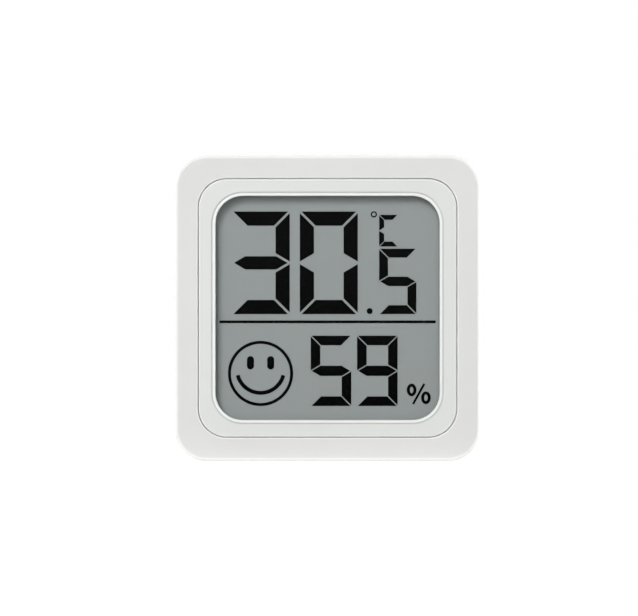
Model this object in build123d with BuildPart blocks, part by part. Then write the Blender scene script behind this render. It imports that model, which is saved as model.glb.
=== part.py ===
from build123d import *
import math
import os

# Temperature and humidity sensor: a small square case with a reflective display.
# X runs to the right, the display looks towards -Y and Z is up. The origin is under
# the middle of the case, on the surface that it stands on.

# Case
width = 43.0
height = 43.0
corner_radius = 4.6
front_rounding = 0.63
rear_rounding = 1.0
wall = 1.5
front_wall = 1.6
rear_wall = 1.5
rear_case_depth = 3.2
parting_rounding = 0.15

# Joint between front frame and rear housing
tongue_length = 2.4
tongue_wall = 0.8
tongue_clearance = 0.1
snap_length = 4.0
snap_width = 0.7
snap_rise = 0.25
snap_play = 0.1
snap_offset = 9.0

# Bezel ring round the display
band_width = 3.355
seam_gap = 0.08
opening_radius = 4.05
seam_rounding = 0.24
bezel_band = 2.365
window_radius = 3.85
lip_thickness = 1.2
lip_rounding = 0.12
lip_line_offset = 0.48
lip_line_width = 0.2
lip_line_depth = 0.28
flange_thickness = 0.6
flange_clearance = 0.5

# Clear window and its adhesive
rebate_margin = 1.0
rebate_radius = 1.2
window_clearance = 0.1
tape_width = 0.8
tape_thickness = 0.1
window_thickness = 0.7

# Display: two glasses, a seal between them and a polariser on each side
display_gap = 0.1
front_polariser_thickness = 0.15
polariser_margin = 0.4
glass_thickness = 0.5
glass_side_margin = 1.5
glass_end_margin = 0.8
contact_ledge = 1.2
cell_gap = 0.1
segment_thickness = 0.06
seal_width = 0.6
seal_setback = 0.15
rear_polariser_thickness = 0.2
glass_clearance = 0.1

# Elastomer strips that join the display to the circuit board
strip_width = 1.0
strip_end_margin = 1.7
strip_clearance = 0.08

# Display holder and circuit board
holder_clearance = 0.2
holder_floor = 1.75
board_clearance = 0.6
board_thickness = 0.8
board_corner = 2.4

# Screws that hold the board to the holder
screw_inset_x = 3.2
screw_inset_z = 11.6
screw_radius = 0.6
screw_pilot_play = 0.03
screw_hole_play = 0.12
screw_bite = 1.35
screw_head_radius = 1.2
screw_head_height = 0.65
screw_recess_radius = 0.5
screw_recess_depth = 0.35

# Posts of the rear housing that clamp the board
post_radius = 1.0
post_inset = 2.9

# Coin cell
cell_radius = 10.0
cell_thickness = 3.2
cell_rise = 2.5
can_wall = 0.25
can_rounding = 0.3
cap_setback = 1.25
cap_wall = 0.22
cap_step = 0.3
gasket_clearance = 0.03
core_clearance = 0.05

# Battery well
well_floor_gap = 0.8
well_floor = 0.6
well_clearance = 0.3
well_wall = 1.0
cell_standoff = 0.4

# Battery door with bayonet lugs
door_thickness = 1.35
door_gap = 0.05
door_overhang = 1.1
door_clearance = 0.15
door_rounding = 0.2
skirt_wall = 0.75
skirt_length = 1.3
skirt_clearance = 0.1
lug_rise = 0.55
lug_height = 0.6
lug_lift = 0.1
lug_clearance = 0.08
lug_count = 3
lug_arc = 24.0
door_turn = 35.0
lug_play_arc = 1.5
first_lug_angle = 90.0
coin_slot_length = 13.0
coin_slot_width = 2.0
coin_slot_depth = 0.7
mark_radius = 0.45
mark_depth = 0.25
mark_inset = 1.6

# Push button and its switch
button_inset_x = 8.5
button_inset_z = 4.5
button_radius = 1.9
button_clearance = 0.1
button_recess = 0.2
button_flange_rise = 0.5
button_flange = 0.5
button_flange_gap = 0.1
button_rounding = 0.25
button_stem_radius = 1.0
button_travel = 0.3
collar_wall = 0.7
collar_length = 1.0
switch_size = 4.5
switch_base_height = 1.2
switch_cover_thickness = 0.2
switch_cover_skirt = 0.9
switch_well_radius = 1.5
switch_well_depth = 0.9
plunger_radius = 1.0
plunger_head_radius = 1.35
plunger_head_height = 0.2
plunger_height = 1.0
plunger_clearance = 0.1
dome_thickness = 0.06
dome_foot_gap = 0.05

# Air vents beside the humidity sensor
vent_count = 5
vent_pitch = 1.9
vent_width = 0.9
vent_length = 4.6
vent_inset_x = 11.1
vent_inset_z = 4.3

# Battery contacts
contact_thickness = 0.15
negative_width = 3.0
negative_neck_x = 6.6
negative_foot = 2.6
negative_crown = 2.2
negative_reach = 5.0
contact_slot_play = 0.3
positive_width = 3.0
positive_gap = 0.9
positive_foot = 2.4
positive_height = 2.4
positive_dip = 0.45
positive_tail = 0.4
positive_touch_gap = 0.05

# Parts soldered to the back of the board
radio_size = 5.0
radio_height = 0.75
radio_inset_x = 5.9
radio_inset_z = 5.9
crystal_length = 3.2
crystal_width = 2.5
crystal_height = 0.8
crystal_gap = 0.85
crystal_inset_z = 3.1
antenna_length = 5.0
antenna_width = 2.0
antenna_height = 1.1
tank_length = 3.5
tank_width = 2.8
tank_height = 1.9
tank_inset_x = 4.85
tank_inset_z = 7.0
coil_length = 2.0
coil_width = 1.25
coil_height = 0.9
chip_length = 1.6
chip_width = 0.8
capacitor_height = 0.8
resistor_height = 0.45
sensor_size = 2.5
sensor_height = 0.9
sensor_port_radius = 0.5
sensor_port_depth = 0.3
body_rounding = 0.1

# Places on the board, as shares of half its width and half its height
antenna_share = (0.62, 0.86)
coil_share = (0.28, 0.87)
capacitor_shares = (
    (-0.1, 0.84), (-0.1, 0.92), (0.06, 0.92), (-0.08, -0.74), (-0.9, 0.0), (-0.9, -0.08),
    (-0.9, -0.155),
)
resistor_shares = (
    (-0.7, -0.66), (-0.7, -0.58), (0.16, -0.82), (0.16, -0.9), (0.9, 0.15), (0.9, 0.07),
    (0.9, -0.01), (0.9, -0.09),
)

# Seven-segment digits: size, stroke and gap of each kind
slant = 0.59
big_width = 8.15
big_height = 14.44
big_stroke = 1.99
big_middle = 1.85
big_gap = 0.32
small_width = 5.23
small_height = 9.2
small_stroke = 1.24
small_middle = 1.32
small_gap = 0.15
unit_width = 2.62
unit_height = 4.45
unit_stroke = 0.69
unit_gap = 0.1
humid_width = 5.7
humid_height = 9.89
humid_stroke = 1.34
humid_middle = 1.43
humid_gap = 0.15

# Places of the display's marks, from the middle of the window that they are drawn for
layout_width = 31.4
layout_height = 31.4
first_digit_left = -13.48
second_digit_left = -3.9
digit_top = 13.58
tenth_left = 7.27
tenth_top = 8.35
unit_top = 13.11
degree_x = 6.52
degree_z = 13.18
degree_radius = 0.44
degree_stroke = 0.19
point_x = 5.93
point_z = -0.43
point_radius = 0.42
divider_length = 30.43
divider_width = 0.375
divider_z = -1.945
humid_first_left = -2.365
humid_second_left = 4.16
humid_top = -3.9
percent_left_x = 11.835
percent_left_z = -11.54
percent_right_x = 13.85
percent_right_z = -12.64
percent_half_width = 0.68
percent_half_height = 0.89
percent_stroke = 0.43
slash_top_x = 13.62
slash_top_z = -10.67
slash_bottom_x = 12.04
slash_bottom_z = -13.53
slash_width = 0.31
face_x = -9.435
face_z = -9.21
face_radius = 4.59
face_stroke = 0.42
eye_spread = 1.42
eye_rise = 1.5
eye_width = 0.985
eye_height = 1.865
mouth_rise = 0.58
mouth_radius = 3.32
mouth_stroke = 0.55
mouth_end_angle = 14.5

# Depth of each layer behind the front face
rebate_level = lip_thickness
window_level = rebate_level + tape_thickness
flange_level = front_wall
holder_level = flange_level + flange_thickness
front_polariser_level = window_level + window_thickness + display_gap
front_glass_level = front_polariser_level + front_polariser_thickness
cell_level = front_glass_level + glass_thickness
rear_glass_level = cell_level + cell_gap
rear_polariser_level = rear_glass_level + glass_thickness
holder_floor_level = rear_polariser_level + rear_polariser_thickness
board_level = holder_floor_level + holder_floor
board_back_level = board_level + board_thickness
well_floor_level = board_back_level + well_floor_gap
well_level = well_floor_level + well_floor
battery_level = well_level + cell_standoff
battery_back_level = battery_level + cell_thickness
door_level = battery_back_level + door_gap
depth = door_level + door_thickness
rear_plate_level = depth - rear_wall
split_level = depth - rear_case_depth

# Sizes that follow from the case
inner_width = width - 2 * wall
inner_height = height - 2 * wall
inner_radius = corner_radius - wall
opening_width = width - 2 * band_width
opening_height = height - 2 * band_width
bezel_width = opening_width - 2 * seam_gap
bezel_height = opening_height - 2 * seam_gap
bezel_radius = opening_radius - seam_gap
window_width = bezel_width - 2 * bezel_band
window_height = bezel_height - 2 * bezel_band
rebate_width = window_width + 2 * rebate_margin
rebate_height = window_height + 2 * rebate_margin
glass_width = window_width + 2 * glass_side_margin
rear_glass_height = window_height + 2 * glass_end_margin
front_glass_height = rear_glass_height + 2 * contact_ledge
strip_z = rear_glass_height / 2 + strip_clearance + strip_width / 2
strip_length = glass_width - 2 * strip_end_margin
layout_fit = min(window_width / layout_width, window_height / layout_height)
board_width = inner_width - 2 * board_clearance
board_height = inner_height - 2 * board_clearance
half_board_width = board_width / 2
half_board_height = board_height / 2
tongue_width = inner_width - 2 * tongue_clearance
tongue_height = inner_height - 2 * tongue_clearance
tongue_radius = inner_radius - tongue_clearance
housing_width = tongue_width - 2 * tongue_wall
housing_height = tongue_height - 2 * tongue_wall
housing_radius = tongue_radius - tongue_wall
tongue_level = split_level - tongue_length
snap_level = split_level - tongue_length / 2
middle_z = height / 2
cell_z = middle_z + cell_rise
cap_radius = cell_radius - cap_setback
cell_axis = Axis((0, 0, cell_z), (0, 1, 0))
screw_x = half_board_width - screw_inset_x
screw_z = half_board_height - screw_inset_z
radio_x = half_board_width - radio_inset_x
radio_z = half_board_height - radio_inset_z
crystal_x = crystal_gap + (radio_size + crystal_length) / 2 - radio_x
crystal_z = half_board_height - crystal_inset_z
tank_x = half_board_width - tank_inset_x
tank_z = half_board_height - tank_inset_z
button_x = housing_width / 2 - button_inset_x
button_z = button_inset_z - housing_height / 2
vent_x = housing_width / 2 - vent_inset_x
vent_z = vent_inset_z - housing_height / 2


def facing(level):
    """Plane parallel to the front face, the given depth behind it, seen from the front."""
    return Plane(origin=(0, level - depth / 2, middle_z), x_dir=(1, 0, 0), z_dir=(0, -1, 0))


def radial(angle):
    """Plane through the cell's axis: its x is the distance from that axis, its y runs back."""
    turn = math.radians(angle)
    outward = (math.cos(turn), 0, math.sin(turn))
    return Plane(
        origin=(0, -depth / 2, cell_z), x_dir=outward, z_dir=(-math.sin(turn), 0, math.cos(turn))
    )


os.makedirs("parts", exist_ok=True)

# Front frame: the outer shell with the square band round the bezel
with BuildPart() as front_frame:
    with BuildSketch(facing(0)):
        RectangleRounded(width, height, corner_radius)
    extrude(amount=-split_level)
    fillet(front_frame.faces().sort_by(Axis.Y)[0].edges(), front_rounding)
    fillet(front_frame.faces().sort_by(Axis.Y)[-1].edges(), parting_rounding)
    with BuildSketch(facing(front_wall)):
        RectangleRounded(inner_width, inner_height, inner_radius)
    extrude(amount=-(split_level - front_wall), mode=Mode.SUBTRACT)
    with BuildSketch(facing(0)):
        RectangleRounded(opening_width, opening_height, opening_radius)
    extrude(amount=-front_wall, mode=Mode.SUBTRACT)
    fillet(front_frame.faces().sort_by(Axis.Y)[0].inner_wires()[0].edges(), seam_rounding)
    with BuildSketch(facing(snap_level - snap_width / 2 - snap_play)):
        for side in (-1, 1):
            for place in (-snap_offset, snap_offset):
                with Locations((side * inner_width / 2, place)):
                    Rectangle(2 * (snap_rise + snap_play), snap_length + 2 * snap_play)
                with Locations((place, side * inner_height / 2)):
                    Rectangle(snap_length + 2 * snap_play, 2 * (snap_rise + snap_play))
    extrude(amount=-(snap_width + 2 * snap_play), mode=Mode.SUBTRACT)
front_frame.part.label = "front_frame"
export_step(front_frame.part, "parts/front_frame.step")

# Window bezel: a ring let into the frame from inside and stopped by its flange
with BuildPart() as window_bezel:
    with BuildSketch(facing(0)):
        RectangleRounded(bezel_width, bezel_height, bezel_radius)
    extrude(amount=-front_wall)
    fillet(window_bezel.faces().sort_by(Axis.Y)[0].edges(), seam_rounding)
    with BuildSketch(facing(flange_level)):
        RectangleRounded(
            inner_width - 2 * flange_clearance,
            inner_height - 2 * flange_clearance,
            inner_radius - flange_clearance,
        )
    extrude(amount=-flange_thickness)
    with BuildSketch(facing(0)):
        RectangleRounded(window_width, window_height, window_radius)
    extrude(amount=-holder_level, mode=Mode.SUBTRACT)
    fillet(window_bezel.faces().sort_by(Axis.Y)[0].inner_wires()[0].edges(), lip_rounding)
    with BuildSketch(facing(0)):
        line_outer = lip_line_offset + lip_line_width / 2
        line_inner = lip_line_offset - lip_line_width / 2
        RectangleRounded(
            window_width + 2 * line_outer, window_height + 2 * line_outer, window_radius + line_outer
        )
        RectangleRounded(
            window_width + 2 * line_inner,
            window_height + 2 * line_inner,
            window_radius + line_inner,
            mode=Mode.SUBTRACT,
        )
    extrude(amount=-lip_line_depth, mode=Mode.SUBTRACT)
    with BuildSketch(facing(rebate_level)):
        RectangleRounded(rebate_width, rebate_height, rebate_radius)
    extrude(amount=-(holder_level - rebate_level), mode=Mode.SUBTRACT)
window_bezel.part.label = "window_bezel"
export_step(window_bezel.part, "parts/window_bezel.step")

# Adhesive ring under the lip
with BuildPart() as window_tape:
    with BuildSketch(facing(rebate_level)):
        RectangleRounded(
            rebate_width - 2 * window_clearance,
            rebate_height - 2 * window_clearance,
            rebate_radius - window_clearance,
        )
        RectangleRounded(
            rebate_width - 2 * window_clearance - 2 * tape_width,
            rebate_height - 2 * window_clearance - 2 * tape_width,
            window_radius,
            mode=Mode.SUBTRACT,
        )
    extrude(amount=-tape_thickness)
window_tape.part.label = "window_tape"
export_step(window_tape.part, "parts/window_tape.step")

# Clear window
with BuildPart() as display_window:
    with BuildSketch(facing(window_level)):
        RectangleRounded(
            rebate_width - 2 * window_clearance,
            rebate_height - 2 * window_clearance,
            rebate_radius - window_clearance,
        )
    extrude(amount=-window_thickness)
display_window.part.label = "display_window"
export_step(display_window.part, "parts/display_window.step")

# Front polariser film
with BuildPart() as lcd_front_polariser:
    with BuildSketch(facing(front_polariser_level)):
        Rectangle(window_width + 2 * polariser_margin, window_height + 2 * polariser_margin)
    extrude(amount=-front_polariser_thickness)
lcd_front_polariser.part.label = "lcd_front_polariser"
export_step(lcd_front_polariser.part, "parts/lcd_front_polariser.step")

# Front glass, taller than the rear one by its two contact ledges
with BuildPart() as lcd_front_glass:
    with BuildSketch(facing(front_glass_level)):
        Rectangle(glass_width, front_glass_height)
    extrude(amount=-glass_thickness)
lcd_front_glass.part.label = "lcd_front_glass"
export_step(lcd_front_glass.part, "parts/lcd_front_glass.step")

# Seal that keeps the two glasses apart
with BuildPart() as lcd_seal:
    with BuildSketch(facing(cell_level)):
        Rectangle(glass_width - 2 * seal_setback, rear_glass_height - 2 * seal_setback)
        Rectangle(
            glass_width - 2 * seal_setback - 2 * seal_width,
            rear_glass_height - 2 * seal_setback - 2 * seal_width,
            mode=Mode.SUBTRACT,
        )
    extrude(amount=-cell_gap)
lcd_seal.part.label = "lcd_seal"
export_step(lcd_seal.part, "parts/lcd_seal.step")

# Rear glass
with BuildPart() as lcd_rear_glass:
    with BuildSketch(facing(rear_glass_level)):
        Rectangle(glass_width, rear_glass_height)
    extrude(amount=-glass_thickness)
lcd_rear_glass.part.label = "lcd_rear_glass"
export_step(lcd_rear_glass.part, "parts/lcd_rear_glass.step")

# Rear polariser with its reflecting layer
with BuildPart() as lcd_rear_polariser:
    with BuildSketch(facing(rear_polariser_level)):
        Rectangle(glass_width - 2 * seal_setback, rear_glass_height - 2 * seal_setback)
    extrude(amount=-rear_polariser_thickness)
lcd_rear_polariser.part.label = "lcd_rear_polariser"
export_step(lcd_rear_polariser.part, "parts/lcd_rear_polariser.step")


def digit_segments(left, top, size, lit):
    """Outlines of the lit segments of one digit, a to g from the top round to the middle."""
    digit_width, digit_height, stroke, middle, gap = size
    right = left + digit_width
    bottom = top - digit_height
    centre = top - digit_height / 2
    mitre = gap / math.sqrt(2)
    half_gap = gap / 2 * math.sqrt(1 + slant**2)
    shoulder = (middle / 2 + half_gap) / slant
    side = [
        (left, top - mitre),
        (left + stroke, top - stroke - mitre),
        (left + stroke, centre + slant * stroke + half_gap),
        (left, centre + half_gap),
    ]
    bar = [
        (left + mitre, top),
        (right - mitre, top),
        (right - stroke - mitre, top - stroke),
        (left + stroke + mitre, top - stroke),
    ]
    over = left + right
    under = top + bottom
    outlines = {
        "a": bar,
        "b": [(over - x, z) for x, z in side],
        "c": [(over - x, under - z) for x, z in side],
        "d": [(x, under - z) for x, z in bar],
        "e": [(x, under - z) for x, z in side],
        "f": side,
        "g": [
            (left + half_gap / slant, centre),
            (left + shoulder, centre + middle / 2),
            (right - shoulder, centre + middle / 2),
            (right - half_gap / slant, centre),
            (right - shoulder, centre - middle / 2),
            (left + shoulder, centre - middle / 2),
        ],
    }
    return [outlines[name] for name in lit]


big_digit = (big_width, big_height, big_stroke, big_middle, big_gap)
small_digit = (small_width, small_height, small_stroke, small_middle, small_gap)
unit_letter = (unit_width, unit_height, unit_stroke, unit_stroke, unit_gap)
humid_digit = (humid_width, humid_height, humid_stroke, humid_middle, humid_gap)
segment_outlines = (
    digit_segments(first_digit_left, digit_top, big_digit, "abcdg")
    + digit_segments(second_digit_left, digit_top, big_digit, "abcdef")
    + digit_segments(tenth_left, tenth_top, small_digit, "acdfg")
    + digit_segments(tenth_left, unit_top, unit_letter, "adef")
    + digit_segments(humid_first_left, humid_top, humid_digit, "acdfg")
    + digit_segments(humid_second_left, humid_top, humid_digit, "abcdfg")
)

# Dark marks of the liquid crystal layer, lying on the rear glass
with BuildPart() as lcd_segments:
    with BuildSketch(facing(rear_glass_level)):
        for outline in segment_outlines:
            with BuildLine():
                Polyline(*outline, close=True)
            make_face()
        with Locations((0, divider_z)):
            Rectangle(divider_length, divider_width)
        with Locations((point_x, point_z)):
            Circle(point_radius)
        with Locations((degree_x, degree_z)):
            Circle(degree_radius)
            Circle(degree_radius - degree_stroke, mode=Mode.SUBTRACT)
        with Locations((percent_left_x, percent_left_z), (percent_right_x, percent_right_z)):
            Ellipse(percent_half_width, percent_half_height)
            Ellipse(
                percent_half_width - percent_stroke,
                percent_half_height - percent_stroke,
                mode=Mode.SUBTRACT,
            )
        with Locations((face_x, face_z)):
            Circle(face_radius)
            Circle(face_radius - face_stroke, mode=Mode.SUBTRACT)
        for side in (-1, 1):
            with Locations((face_x + side * eye_spread, face_z + eye_rise)):
                SlotOverall(eye_height, eye_width, rotation=90)
        scale(by=layout_fit)
    extrude(amount=segment_thickness)
    with BuildSketch(facing(rear_glass_level)):
        with BuildLine():
            Line((slash_top_x, slash_top_z), (slash_bottom_x, slash_bottom_z))
        trace(line_width=slash_width)
        with BuildLine():
            CenterArc(
                (face_x, face_z + mouth_rise),
                mouth_radius,
                -180 + mouth_end_angle,
                180 - 2 * mouth_end_angle,
            )
        trace(line_width=mouth_stroke)
        scale(by=layout_fit)
    extrude(amount=segment_thickness)
lcd_segments.part.label = "lcd_segments"
export_step(lcd_segments.part, "parts/lcd_segments.step")

# Elastomer strips between the glass ledges and the board
for name, side in (("zebra_strip_upper", 1), ("zebra_strip_lower", -1)):
    with BuildPart() as strip:
        with BuildSketch(facing(cell_level)):
            with Locations((0, side * strip_z)):
                Rectangle(strip_length, strip_width)
        extrude(amount=-(board_level - cell_level))
    strip.part.label = name
    export_step(strip.part, "parts/" + name + ".step")

# Holder: a frame with a pocket for the glasses and a floor that takes the screws
with BuildPart() as lcd_holder:
    with BuildSketch(facing(holder_level)):
        RectangleRounded(
            inner_width - 2 * holder_clearance,
            inner_height - 2 * holder_clearance,
            inner_radius - holder_clearance,
        )
    extrude(amount=-(board_level - holder_level))
    with BuildSketch(facing(holder_level)):
        Rectangle(glass_width + 2 * glass_clearance, front_glass_height + 2 * glass_clearance)
    extrude(amount=-(cell_level - holder_level), mode=Mode.SUBTRACT)
    with BuildSketch(facing(cell_level)):
        Rectangle(glass_width + 2 * glass_clearance, rear_glass_height + 2 * strip_clearance)
    extrude(amount=-(holder_floor_level - cell_level), mode=Mode.SUBTRACT)
    with BuildSketch(facing(cell_level)):
        with Locations((0, strip_z), (0, -strip_z)):
            Rectangle(strip_length + 2 * strip_clearance, strip_width + 2 * strip_clearance)
    extrude(amount=-(board_level - cell_level), mode=Mode.SUBTRACT)
    with BuildSketch(facing(board_level)):
        with GridLocations(2 * screw_x, 2 * screw_z, 2, 2):
            Circle(screw_radius + screw_pilot_play)
    extrude(amount=screw_bite + glass_clearance, mode=Mode.SUBTRACT)
lcd_holder.part.label = "lcd_holder"
export_step(lcd_holder.part, "parts/lcd_holder.step")

# Circuit board
with BuildPart() as circuit_board:
    with BuildSketch(facing(board_level)):
        RectangleRounded(board_width, board_height, board_corner)
        with GridLocations(2 * screw_x, 2 * screw_z, 2, 2):
            Circle(screw_radius + screw_hole_play, mode=Mode.SUBTRACT)
    extrude(amount=-board_thickness)
circuit_board.part.label = "circuit_board"
export_step(circuit_board.part, "parts/circuit_board.step")

# Screws of the board, all alike
with BuildPart() as pcb_screws:
    with BuildSketch(facing(board_back_level)):
        with GridLocations(2 * screw_x, 2 * screw_z, 2, 2):
            Circle(screw_radius)
    extrude(amount=board_thickness + screw_bite)
    with BuildSketch(facing(board_back_level)):
        with GridLocations(2 * screw_x, 2 * screw_z, 2, 2):
            Circle(screw_head_radius)
    extrude(amount=-screw_head_height)
    with BuildSketch(facing(board_back_level + screw_head_height)):
        with GridLocations(2 * screw_x, 2 * screw_z, 2, 2):
            RegularPolygon(screw_recess_radius, 6)
    extrude(amount=screw_recess_depth, mode=Mode.SUBTRACT)
pcb_screws.part.label = "pcb_screws"
export_step(pcb_screws.part, "parts/pcb_screws.step")


def board_place(share):
    """Point on the board from its shares of the half width and half height."""
    return (share[0] * half_board_width, share[1] * half_board_height)


# Radio chip with its ground of leads hidden under the body
with BuildPart() as radio_chip:
    with BuildSketch(facing(board_back_level)):
        with Locations((-radio_x, radio_z)):
            Rectangle(radio_size, radio_size)
    extrude(amount=-radio_height)
    fillet(radio_chip.faces().sort_by(Axis.Y)[-1].edges(), body_rounding)
radio_chip.part.label = "radio_chip"
export_step(radio_chip.part, "parts/radio_chip.step")

# Parts with one body each: node name, length, width, height, place
chip_bodies = (
    ("clock_crystal", crystal_length, crystal_width, crystal_height, (crystal_x, crystal_z)),
    ("chip_antenna", antenna_length, antenna_width, antenna_height, board_place(antenna_share)),
    ("tank_capacitor", tank_length, tank_width, tank_height, (tank_x, tank_z)),
    ("chip_inductor", coil_length, coil_width, coil_height, board_place(coil_share)),
)
for name, length, breadth, rise, place in chip_bodies:
    with BuildPart() as chip:
        with BuildSketch(facing(board_back_level)):
            with Locations(place):
                Rectangle(length, breadth)
        extrude(amount=-rise)
        fillet(chip.faces().sort_by(Axis.Y)[-1].edges(), body_rounding)
    chip.part.label = name
    export_step(chip.part, "parts/" + name + ".step")

# Small capacitors and resistors, a group of each
chip_groups = (
    ("chip_capacitors", capacitor_height, capacitor_shares),
    ("chip_resistors", resistor_height, resistor_shares),
)
for name, rise, shares in chip_groups:
    with BuildPart() as chips:
        with BuildSketch(facing(board_back_level)):
            for share in shares:
                with Locations(board_place(share)):
                    Rectangle(chip_length, chip_width)
        extrude(amount=-rise)
    chips.part.label = name
    export_step(chips.part, "parts/" + name + ".step")

# Humidity sensor behind the vents, with its round port
with BuildPart() as humidity_sensor:
    with BuildSketch(facing(board_back_level)):
        with Locations((-vent_x, vent_z)):
            Rectangle(sensor_size, sensor_size)
    extrude(amount=-sensor_height)
    fillet(humidity_sensor.faces().sort_by(Axis.Y)[-1].edges(), body_rounding)
    with BuildSketch(facing(board_back_level + sensor_height)):
        with Locations((-vent_x, vent_z)):
            Circle(sensor_port_radius)
    extrude(amount=sensor_port_depth, mode=Mode.SUBTRACT)
humidity_sensor.part.label = "humidity_sensor"
export_step(humidity_sensor.part, "parts/humidity_sensor.step")

# Coin cell can: a shallow cup, open to the front
with BuildPart() as coin_cell_can:
    with BuildSketch(facing(battery_level + cap_step)):
        with Locations((0, cell_rise)):
            Circle(cell_radius)
    extrude(amount=-(cell_thickness - cap_step))
    fillet(coin_cell_can.faces().sort_by(Axis.Y)[-1].edges(), can_rounding)
    with BuildSketch(facing(battery_level + cap_step)):
        with Locations((0, cell_rise)):
            Circle(cell_radius - can_wall)
    extrude(amount=-(cell_thickness - cap_step - can_wall), mode=Mode.SUBTRACT)
coin_cell_can.part.label = "coin_cell_can"
export_step(coin_cell_can.part, "parts/coin_cell_can.step")

# Gasket between can and cap
with BuildPart() as coin_cell_gasket:
    with BuildSketch(facing(battery_level + cap_step)):
        with Locations((0, cell_rise)):
            Circle(cell_radius - can_wall - gasket_clearance)
            Circle(cap_radius + gasket_clearance, mode=Mode.SUBTRACT)
    extrude(amount=-(cell_thickness - cap_step - can_wall))
coin_cell_gasket.part.label = "coin_cell_gasket"
export_step(coin_cell_gasket.part, "parts/coin_cell_gasket.step")

# Cap: the negative pole, a cup that stands a little proud of the can
with BuildPart() as coin_cell_cap:
    with BuildSketch(facing(battery_level)):
        with Locations((0, cell_rise)):
            Circle(cap_radius)
    extrude(amount=-(cell_thickness - can_wall) / 2)
    fillet(coin_cell_cap.faces().sort_by(Axis.Y)[0].edges(), cap_wall)
    with BuildSketch(facing(battery_level + cap_wall)):
        with Locations((0, cell_rise)):
            Circle(cap_radius - cap_wall)
    extrude(amount=-cell_thickness / 2, mode=Mode.SUBTRACT)
coin_cell_cap.part.label = "coin_cell_cap"
export_step(coin_cell_cap.part, "parts/coin_cell_cap.step")

# Filling of the cell
with BuildPart() as coin_cell_core:
    with BuildSketch(facing(battery_level + cap_wall)):
        with Locations((0, cell_rise)):
            Circle(cap_radius - cap_wall - core_clearance)
    extrude(amount=-(cell_thickness - can_wall - cap_wall))
coin_cell_core.part.label = "coin_cell_core"
export_step(coin_cell_core.part, "parts/coin_cell_core.step")

# Negative contact: foot on the board, neck through the well's floor, sprung leaf
leaf_level = battery_level - contact_thickness / 2 - depth / 2
foot_level = board_back_level + contact_thickness / 2 - depth / 2
floor_leaf_level = well_level + contact_thickness - depth / 2
with BuildPart() as negative_contact:
    with BuildSketch(Plane.XY.offset(cell_z - negative_width / 2)):
        with BuildLine():
            Polyline(
                (negative_neck_x + negative_foot, foot_level),
                (negative_neck_x, foot_level),
                (negative_neck_x, floor_leaf_level),
                (negative_crown, leaf_level),
                (-negative_crown, leaf_level),
                (-negative_reach, floor_leaf_level),
            )
        trace(line_width=contact_thickness)
    extrude(amount=negative_width)
negative_contact.part.label = "negative_contact"
export_step(negative_contact.part, "parts/negative_contact.step")

# Positive contact: it stands on the board outside the well and touches the can's side
touch_x = -(cell_radius + positive_touch_gap + contact_thickness / 2)
post_x = -(cell_radius + well_clearance + well_wall + positive_gap)
contact_top = board_back_level + positive_height - depth / 2
with BuildPart() as positive_contact:
    with BuildSketch(Plane.XY.offset(cell_z - positive_width / 2)):
        with BuildLine():
            Polyline(
                (post_x - positive_foot, foot_level),
                (post_x, foot_level),
                (post_x, contact_top),
                (touch_x, contact_top - positive_dip),
                (touch_x - positive_tail, contact_top - positive_dip - positive_tail),
            )
        trace(line_width=contact_thickness)
    extrude(amount=positive_width)
positive_contact.part.label = "positive_contact"
export_step(positive_contact.part, "parts/positive_contact.step")

# Battery door and the bayonet that holds it: radii and depths from the cell outwards
bore_radius = cell_radius + well_clearance
skirt_radius = bore_radius + skirt_wall
door_radius = skirt_radius + door_overhang
skirt_level = door_level - skirt_length
counterbore_radius = skirt_radius + skirt_clearance
counterbore_level = skirt_level - lug_lift
lug_radius = skirt_radius + lug_rise
lug_end_level = skirt_level + lug_height
groove_radius = lug_radius + skirt_clearance
groove_end_level = lug_end_level + lug_clearance
recess_radius = door_radius + door_clearance
ring_radius = recess_radius + well_wall
ring_level = counterbore_level - well_wall
lug_angles = [first_lug_angle + turn * 360 / lug_count for turn in range(lug_count)]
collar_level = rear_plate_level - collar_length
button_hole_radius = button_radius + button_clearance
mark_ring = recess_radius + mark_inset
closed_angle = math.radians(first_lug_angle)
open_angle = math.radians(first_lug_angle - door_turn)

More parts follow.
